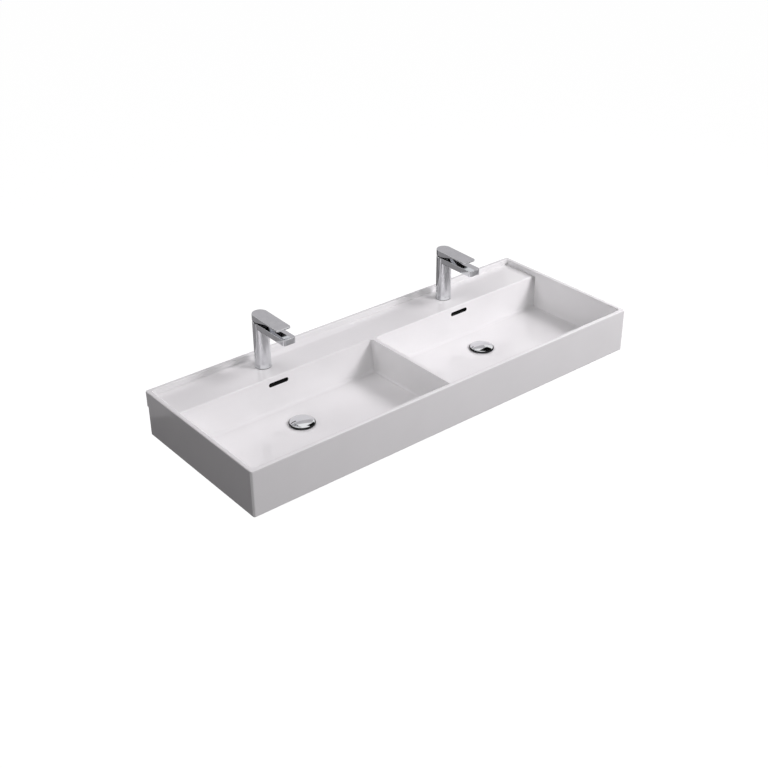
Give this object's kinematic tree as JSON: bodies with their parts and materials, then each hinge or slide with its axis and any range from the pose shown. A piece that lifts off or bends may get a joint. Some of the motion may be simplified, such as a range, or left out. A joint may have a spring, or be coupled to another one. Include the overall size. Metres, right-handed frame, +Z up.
{
  "type": "double washbasin with taps",
  "caption": "Wall-hung ceramic double washbasin with rectangular bowls, a sunken tap deck, chrome single-lever taps and push-open waste caps.",
  "frame": {"origin": "midway between the four wall fixing holes, on the plane of the finished wall", "axes": "+X to the right for a person facing the basin, +Y into the wall, +Z up"},
  "size_m": [1.2, 0.45, 0.3165],
  "materials": {
    "glazed_white": "white glossy glaze",
    "chrome": "polished chrome plate",
    "brass": "machined brass",
    "steel": "stainless steel",
    "rubber": "black rubber",
    "grey_plastic": "grey moulded plastic",
    "white_plastic": "white moulded plastic",
    "plug_plastic": "grey plug",
    "disc_ceramic": "lapped ceramic"
  },
  "bodies": {
    "root": {"basin": "glazed_white", "left_tap_body": "chrome", "left_valve_body": "brass", "left_tap_seals": "rubber", "left_base_seal": "rubber", "left_dome": "chrome", "left_cartridge": "grey_plastic", "left_cartridge_nut": "brass", "left_fixed_disc": "disc_ceramic", "left_aerator_ring": "chrome", "left_aerator_insert": "grey_plastic", "left_stud": "brass", "left_clamp_seal": "rubber", "left_clamp_washer": "steel", "left_stud_nut": "brass", "left_waste_body": "chrome", "left_waste_top_seal": "rubber", "left_waste_bottom_seal": "rubber", "left_waste_nut": "brass", "left_latch": "grey_plastic", "right_tap_body": "chrome", "right_valve_body": "brass", "right_tap_seals": "rubber", "right_base_seal": "rubber", "right_dome": "chrome", "right_cartridge": "grey_plastic", "right_cartridge_nut": "brass", "right_fixed_disc": "disc_ceramic", "right_aerator_ring": "chrome", "right_aerator_insert": "grey_plastic", "right_stud": "brass", "right_clamp_seal": "rubber", "right_clamp_washer": "steel", "right_stud_nut": "brass", "right_waste_body": "chrome", "right_waste_top_seal": "rubber", "right_waste_bottom_seal": "rubber", "right_waste_nut": "brass", "right_latch": "grey_plastic"},
    "left_swivel": {"left_rotor": "white_plastic", "left_pivot_pin": "steel"},
    "left_disc": {"left_moving_disc": "disc_ceramic"},
    "left_lift": {"left_lever": "chrome", "left_stem": "steel", "left_lever_screw": "steel", "left_lever_plug": "plug_plastic"},
    "left_cap": {"left_cap": "chrome", "left_cap_seal": "rubber", "left_push_rod": "brass"},
    "right_swivel": {"right_rotor": "white_plastic", "right_pivot_pin": "steel"},
    "right_disc": {"right_moving_disc": "disc_ceramic"},
    "right_lift": {"right_lever": "chrome", "right_stem": "steel", "right_lever_screw": "steel", "right_lever_plug": "plug_plastic"},
    "right_cap": {"right_cap": "chrome", "right_cap_seal": "rubber", "right_push_rod": "brass"}
  },
  "joints": [
    {"name": "left_lever_swivel", "type": "hinge", "parent": "root", "child": "left_swivel", "pos_m": [-0.3, -0.057, 0.157], "axis": [0, 0, 1], "range_deg": [-50, 50]},
    {"name": "left_lever_lift", "type": "hinge", "parent": "left_swivel", "child": "left_lift", "pos_m": [-0.3, -0.057, 0.157], "axis": [-1, 0, 0], "range_deg": [0, 20]},
    {"name": "left_disc_slide", "type": "slide", "parent": "left_swivel", "child": "left_disc", "axis": [0, -1, 0], "range_m": [0, 0.0038]},
    {"name": "left_cap_travel", "type": "slide", "parent": "root", "child": "left_cap", "axis": [0, 0, 1], "range_m": [0, 0.006]},
    {"name": "right_lever_swivel", "type": "hinge", "parent": "root", "child": "right_swivel", "pos_m": [0.3, -0.057, 0.157], "axis": [0, 0, 1], "range_deg": [-50, 50]},
    {"name": "right_lever_lift", "type": "hinge", "parent": "right_swivel", "child": "right_lift", "pos_m": [0.3, -0.057, 0.157], "axis": [-1, 0, 0], "range_deg": [0, 20]},
    {"name": "right_disc_slide", "type": "slide", "parent": "right_swivel", "child": "right_disc", "axis": [0, -1, 0], "range_m": [0, 0.0038]},
    {"name": "right_cap_travel", "type": "slide", "parent": "root", "child": "right_cap", "axis": [0, 0, 1], "range_m": [0, 0.006]}
  ],
  "couplings": [
    {"joint": "left_disc_slide", "follows": "left_lever_lift", "m_per_rad": 0.0106},
    {"joint": "right_disc_slide", "follows": "right_lever_lift", "m_per_rad": 0.0106}
  ]
}
